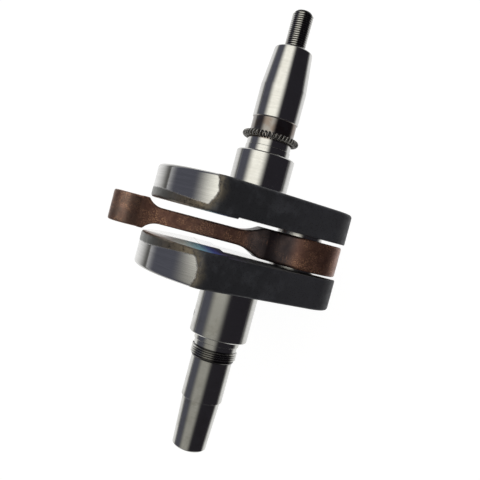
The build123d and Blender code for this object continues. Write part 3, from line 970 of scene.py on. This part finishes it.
def rod_shank(bm, sizes):
    """The shank before its pockets: a block of many short sections that flares into both ends."""
    bmesh.ops.create_cube(bm, size=1.0)
    upright = [edge for edge in bm.edges if abs((edge.verts[0].co - edge.verts[1].co).z) > 0.5]
    bmesh.ops.subdivide_edges(bm, edges=upright, cuts=44, use_grid_fill=True)
    low = PIN_Z + sizes.big_bore + 0.6 * MM
    high = SMALL_END_Z - 5 * MM
    for vert in bm.verts:
        z = low + (vert.co.z + 0.5) * (high - low)
        vert.co.x *= 2 * shank_half_width(sizes, z)
        vert.co.y *= 2 * shank_half_thickness(sizes, z)
        vert.co.z = z


def pocket_cutter(sizes, side):
    """Tapered block with rounded corners that hollows one face of the shank into an I-section."""
    bm = bmesh.new()
    bmesh.ops.create_cube(bm, size=1.0)
    low = PIN_Z + sizes.big_radius + 9.0 * MM
    high = SMALL_END_Z - sizes.small_radius - 5.0 * MM
    floor = sizes.shank / 2 - sizes.pocket
    for vert in bm.verts:
        z = low if vert.co.z < 0 else high
        vert.co.x *= 2 * (shank_half_width(sizes, z) - sizes.rib)
        vert.co.y = side * (floor if vert.co.y < 0 else floor + 12 * MM)
        vert.co.z = z
    upright = [edge for edge in bm.edges if abs((edge.verts[0].co - edge.verts[1].co).y) > 5 * MM]
    bmesh.ops.bevel(bm, geom=upright, offset=2.4 * MM, segments=8, profile=0.5, affect="EDGES", material=-1)
    return bm


OXIDE = (0.21, 0.155, 0.128, 1)
BIG_END_DARK_BAND = (0.028, 0.026, 0.032, 1)
COPPER_PIT = (0.05, 0.028, 0.022, 1)
COPPER_SCRATCH = (0.66, 0.33, 0.20, 1)
BRIGHT_COPPER = (0.78, 0.43, 0.27, 1)


def coppered_material():
    """Copper-plated forging, darker in a band across the top of the big end, rubbed bright in specks, greyer
    at the small end.
    """
    material, n, shader = new_material("Coppered forging")
    if n is None:
        return material
    place = n.place()
    x, y, z = n.split(place)
    scale = place_group(n, "Forged scale", {"Place": place, "Size": 0.9})
    wear = place_group(n, "Handling wear", {"Place": place, "Amount": 0.9})
    plate = finishes().copper
    browned = [value * part for value, part in zip(plate, (0.62, 0.60, 0.62))]
    blackened = [value * part for value, part in zip(plate, (0.30, 0.26, 0.27))]
    cloud = n.noise(place, 0.22, 6.0, 0.66, 0.6)
    shade = n.mix(n.ramp(cloud, 0.36, 0.66), rgb(browned), rgb(plate))
    grain = n.noise(n.stretch(place, (1.0, 1.0, 0.16)), 1.3, 4.0, 0.65)
    shade = n.mix(n.ramp(grain, 0.52, 0.74, 0.0, 0.5), shade, rgb(blackened))
    oxide = n.ramp(z, SMALL_END_Z / MM - 9.0, SMALL_END_Z / MM + 1.0)
    oxide = n.math("MULTIPLY", oxide, n.ramp(n.noise(place, 0.30, 5.0, 0.6), 0.38, 0.62, 0.55, 1.0))
    shade = n.mix(n.math("MULTIPLY", oxide, 0.75), shade, OXIDE)
    # darker in a band across the top of the big end and the foot of the shank
    off_centre = n.math("ABSOLUTE", n.math("ADD", n.math("ADD", z, 8.0), n.math("MULTIPLY", cloud, 4.0)))
    dark_band = n.ramp(off_centre, 7.0, 15.0, 0.92, 0.0)
    shade = n.mix(dark_band, shade, BIG_END_DARK_BAND)
    shade = n.mix(n.math("MULTIPLY", scale["Pits"], 0.35), shade, COPPER_PIT)
    shade = n.mix(n.math("MULTIPLY", wear["Scratches"], 0.8), shade, COPPER_SCRATCH)
    rubbed = n.ramp(n.noise(place, 0.13, 3.0), 0.40, 0.56)
    specks = n.math("MULTIPLY", rubbed, n.ramp(n.noise(place, 1.9, 3.0, 0.7), 0.48, 0.62, 0.0, 0.9))
    dulled = n.math("MAXIMUM", dark_band, n.math("MULTIPLY", oxide, 0.6))
    specks = n.math("MULTIPLY", specks, n.math("SUBTRACT", 1.0, dulled))
    shade = n.mix(specks, shade, BRIGHT_COPPER)
    n.put(shader.inputs["Base Color"], shade)
    n.put(shader.inputs["Metallic"], n.blend_values(oxide, 0.74, 0.5))
    rough = n.ramp(cloud, 0.35, 0.7, 0.40, 0.27)
    n.put(shader.inputs["Roughness"], n.math("SUBTRACT", rough, n.math("MULTIPLY", wear["Scratches"], 0.12)))
    height = n.math("ADD", n.math("MULTIPLY", scale["Height"], 0.8), n.math("MULTIPLY", grain, 0.35))
    n.put(shader.inputs["Normal"], n.bump(height, 0.30, 0.00012))
    return material


class CRANK_OT_rod(bpy.types.Operator):
    """Forge the connecting rod and plate it with copper"""
    bl_idname = "crank.rod"
    bl_label = "Connecting rod"

    def execute(self, context):
        sizes = context.scene.crank_rod
        bm = bmesh.new()
        rod_shank(bm, sizes)
        rod_ring(bm, PIN_CENTRE, sizes.big_bore, sizes.big_radius, ROD_WIDTH, sizes.rounding)
        rod_ring(bm, SMALL_CENTRE, SMALL_BORE_R, sizes.small_radius, sizes.small_width, sizes.rounding)
        piece = new_piece(
            "connecting_rod_forging", bm, "rod", replaces=["connecting_rod"],
            weighted=False)
        remesh = piece.modifiers.new("Forge", "REMESH")
        remesh.mode = "VOXEL"
        remesh.voxel_size = sizes.voxel
        remesh.use_smooth_shade = True
        apply_modifiers(piece)
        for side in (1, -1):
            cut(piece, pocket_cutter(sizes, side))
        bore = bmesh.new()
        corners = [
            (-ROD_WIDTH, 0), (-ROD_WIDTH, SMALL_BORE_R), (ROD_WIDTH, SMALL_BORE_R), (ROD_WIDTH, 0)]
        turn_profile(bore, corners, SMALL_CENTRE, AXIS_Y, 96)
        cut(piece, bore)
        soften = piece.modifiers.new("Soften", "SMOOTH")
        soften.factor = 0.5
        soften.iterations = 4
        apply_modifiers(piece)
        piece.data.shade_smooth()
        use_material(piece, coppered_material())
        return {"FINISHED"}


# ---- garter spring -----------------------------------------------------------------
WIRE_PIT = (0.03, 0.028, 0.027, 1)


def spring_material():
    """Tempered wire in uneven greys, with dark pits."""
    material, n, shader = new_material("Tempered spring wire", Metallic=1.0)
    if n is None:
        return material
    place = n.place()
    scale = place_group(n, "Forged scale", {"Place": place, "Size": 2.2})
    wire = finishes().wire
    shade = n.mix(n.ramp(scale["Height"], 0.42, 0.72), rgb([0.45 * value for value in wire]), rgb(wire))
    shade = n.mix(n.math("MULTIPLY", scale["Pits"], 0.4), shade, WIRE_PIT)
    n.put(shader.inputs["Base Color"], shade)
    n.put(shader.inputs["Roughness"], n.ramp(scale["Height"], 0.4, 0.7, 0.38, 0.2))
    n.put(shader.inputs["Normal"], n.bump(scale["Height"], 0.2, 0.00004))
    return material


class CRANK_OT_spring(bpy.types.Operator):
    """Wind the garter spring round the neck"""
    bl_idname = "crank.spring"
    bl_label = "Garter spring"

    def execute(self, context):
        sizes = context.scene.crank_spring
        outer = (RING_BOX[1].x - RING_BOX[0].x) / 2
        tube = (RING_BOX[1].y - RING_BOX[0].y) / 2
        middle = (RING_BOX[0].y + RING_BOX[1].y) / 2
        ring = outer - tube
        coil = tube - sizes.wire
        curve = bpy.data.curves.new("garter_spring_path", "CURVE")
        curve.dimensions = "3D"
        curve.bevel_depth = sizes.wire
        curve.bevel_resolution = 4
        curve.use_fill_caps = False
        spline = curve.splines.new("POLY")
        points_per_winding = 20
        steps = points_per_winding * sizes.windings
        spline.points.add(steps - 1)
        for index in range(steps):
            turn = 2 * pi * index / steps
            wind = turn * sizes.windings
            radius = ring + coil * cos(wind)
            spline.points[index].co = (radius * sin(turn), middle + coil * sin(wind), radius * cos(turn), 1)
        spline.use_cyclic_u = True
        holder = place_object("garter_spring_path", curve)
        graph = bpy.context.evaluated_depsgraph_get()
        mesh = bpy.data.meshes.new_from_object(holder.evaluated_get(graph))
        bpy.data.objects.remove(holder)
        mesh.name = "garter_spring"
        piece = finish_piece(
            "garter_spring", mesh, "crankshaft", replaces=["garter_spring_ring"],
            crease=80, weighted=False)
        use_material(piece, spring_material())
        return {"FINISHED"}


# ---- stage ---------------------------------------------------------------------------
# the crank is seen turned by SWING about its shaft, so the whole stage is turned the other way
SWING = radians(9.0)
CAMERA_ROLL = radians(14.95)
CAMERA_TILT = radians(1.8)
CAMERA_DISTANCE = 0.262
CAMERA_TARGET = Vector((0, -1.43 * MM, 1.57 * MM))
FLOOR_HALF_SIZE = 0.26
FLOOR_GAP = 22 * MM
WHITE = (1.0, 1.0, 1.0, 1)
GREY = (0.20, 0.20, 0.20, 1)
WARM_PANEL = (1.0, 0.985, 0.90)
DARK_DRAPE, BLUE_DRAPE = (0.026, 0.024, 0.030, 1), (0.105, 0.108, 0.135, 1)


def studio_world():
    """Soft studio: white behind the object, a warm panel above the camera and dark drapes elsewhere."""
    world = bpy.data.worlds.new("Soft studio")
    bpy.context.scene.world = world
    n = empty_nodes(world)
    where = n.add("ShaderNodeTexCoord").outputs["Generated"]
    x, y, z = n.split(where)
    around = n.math("SUBTRACT", n.math("DEGREES", n.math("ARCTAN2", z, x)), degrees(SWING))
    white = n.math("MAXIMUM", n.ramp(around, 98, 126), n.ramp(around, -126, -98, 1.0, 0.0))
    panel = n.math("MULTIPLY", n.ramp(around, -16, 14), n.ramp(around, 40, 72, 1.0, 0.0))
    strength = n.ramp(y, -0.16, 0.06, 0.42, 1.42)
    dark = n.mix(n.ramp(around, 35, 75), DARK_DRAPE, BLUE_DRAPE)
    warm = n.add("ShaderNodeVectorMath", operation="SCALE")
    warm.inputs[0].default_value = WARM_PANEL
    n.put(warm.inputs["Scale"], strength)
    sky = n.mix(panel, dark, warm.outputs[0])
    sky = n.mix(white, sky, WHITE)
    sky = n.mix(n.ramp(n.math("ABSOLUTE", y), 0.82, 0.96), sky, GREY)
    seen = n.add("ShaderNodeLightPath").outputs["Is Camera Ray"]
    background = n.add("ShaderNodeBackground", {"Color": n.mix(seen, sky, WHITE), "Strength": 1.0})
    output = n.add("ShaderNodeOutputWorld")
    n.put(output.inputs["Surface"], background.outputs[0])


def studio_floor():
    """Pale sheet behind the object, clear when seen from its back."""
    bm = bmesh.new()
    bmesh.ops.create_grid(bm, x_segments=1, y_segments=1, size=FLOOR_HALF_SIZE)
    bmesh.ops.translate(bm, vec=(0, 0, CAD_BOX[0].x - FLOOR_GAP), verts=bm.verts[:])
    bmesh.ops.rotate(bm, cent=ORIGIN, matrix=Matrix.Rotation(pi / 2 - SWING, 3, "Y"), verts=bm.verts[:])
    mesh = bpy.data.meshes.new("pale_floor")
    bm.to_mesh(mesh)
    bm.free()
    floor = place_object("pale_floor", mesh)
    material = bpy.data.materials.new("Pale floor")
    n = empty_nodes(material)
    x, y, z = n.split(n.place())
    aside = n.math("SUBTRACT", n.math("MULTIPLY", z, cos(SWING)), n.math("MULTIPLY", x, sin(SWING)))
    fading = n.ramp(n.math("ABSOLUTE", aside), 90, 230, 0.9, 0.04)
    seen = n.add("ShaderNodeLightPath").outputs["Is Camera Ray"]
    diffuse = n.add("ShaderNodeBsdfDiffuse", {"Color": GREY})
    glow = n.add("ShaderNodeEmission", {"Color": WHITE, "Strength": n.blend_values(seen, fading, 0.95)})
    both = n.add("ShaderNodeAddShader")
    n.put(both.inputs[0], diffuse.outputs[0])
    n.put(both.inputs[1], glow.outputs[0])
    clear = n.add("ShaderNodeBsdfTransparent")
    back = n.add("ShaderNodeNewGeometry").outputs["Backfacing"]
    chosen = n.add("ShaderNodeMixShader", {"Fac": back})
    n.put(chosen.inputs[1], both.outputs[0])
    n.put(chosen.inputs[2], clear.outputs[0])
    output = n.add("ShaderNodeOutputMaterial")
    n.put(output.inputs["Surface"], chosen.outputs[0])
    mesh.materials.append(material)


def studio_camera():
    """Camera a little above the middle plane, rolled so that the nose leans right."""
    turn = Matrix.Rotation(-SWING, 3, "Y")
    target = turn @ CAMERA_TARGET
    back = turn @ Vector((cos(CAMERA_TILT), sin(CAMERA_TILT), 0))
    up = turn @ Vector((0, cos(CAMERA_ROLL), sin(CAMERA_ROLL)))
    right = up.cross(back).normalized()
    up = back.cross(right).normalized()
    data = bpy.data.cameras.new("camera")
    data.lens = 41.25
    data.sensor_width = 36.0
    data.clip_start = 0.01
    camera = place_object("camera", data)
    camera.matrix_world = (
        Matrix.Translation(target + back * CAMERA_DISTANCE) @ Matrix((right, up, back)).transposed().to_4x4())
    bpy.context.scene.camera = camera


class CRANK_OT_stage(bpy.types.Operator):
    """Set up the pale floor, the soft studio light and the camera"""
    bl_idname = "crank.stage"
    bl_label = "Stage"

    def execute(self, context):
        studio_world()
        studio_floor()
        studio_camera()
        context.scene.view_settings.view_transform = "Standard"
        return {"FINISHED"}


# ---- panel and registration ------------------------------------------------------------
OPERATORS = (
    CRANK_OT_stage, CRANK_OT_flywheel_shaft, CRANK_OT_drive_shaft, CRANK_OT_webs, CRANK_OT_crankpin,
    CRANK_OT_bearing, CRANK_OT_rod, CRANK_OT_spring)
SETTINGS = {
    "crank_web": CrankWebSizes, "crank_shafts": CrankShaftSizes, "crank_rod": CrankRodSizes,
    "crank_spring": CrankSpringSizes, "crank_finishes": CrankFinishes}


class CRANK_PT_parts(bpy.types.Panel):
    """Lists the crankshaft's pieces and settings"""
    bl_label = "Crankshaft"
    bl_idname = "CRANK_PT_parts"
    bl_space_type = "VIEW_3D"
    bl_region_type = "UI"
    bl_category = "Crankshaft"

    def draw(self, context):
        for operator in OPERATORS:
            self.layout.operator(operator.bl_idname)
        for name, kind in SETTINGS.items():
            box = self.layout.box()
            box.label(text=kind.__doc__)
            for setting in kind.__annotations__:
                box.prop(getattr(context.scene, name), setting)


def register():
    for kind in (*SETTINGS.values(), *OPERATORS, CRANK_PT_parts):
        bpy.utils.register_class(kind)
    for name, kind in SETTINGS.items():
        setattr(bpy.types.Scene, name, bpy.props.PointerProperty(type=kind))


def unregister():
    for name in SETTINGS:
        delattr(bpy.types.Scene, name)
    for kind in (CRANK_PT_parts, *reversed(OPERATORS), *reversed(tuple(SETTINGS.values()))):
        bpy.utils.unregister_class(kind)


def main():
    """Registers the add-on and makes every piece in order."""
    register()
    for operator in OPERATORS:
        group, call = operator.bl_idname.split(".")
        getattr(getattr(bpy.ops, group), call)()


if __name__ == "__main__":
    main()
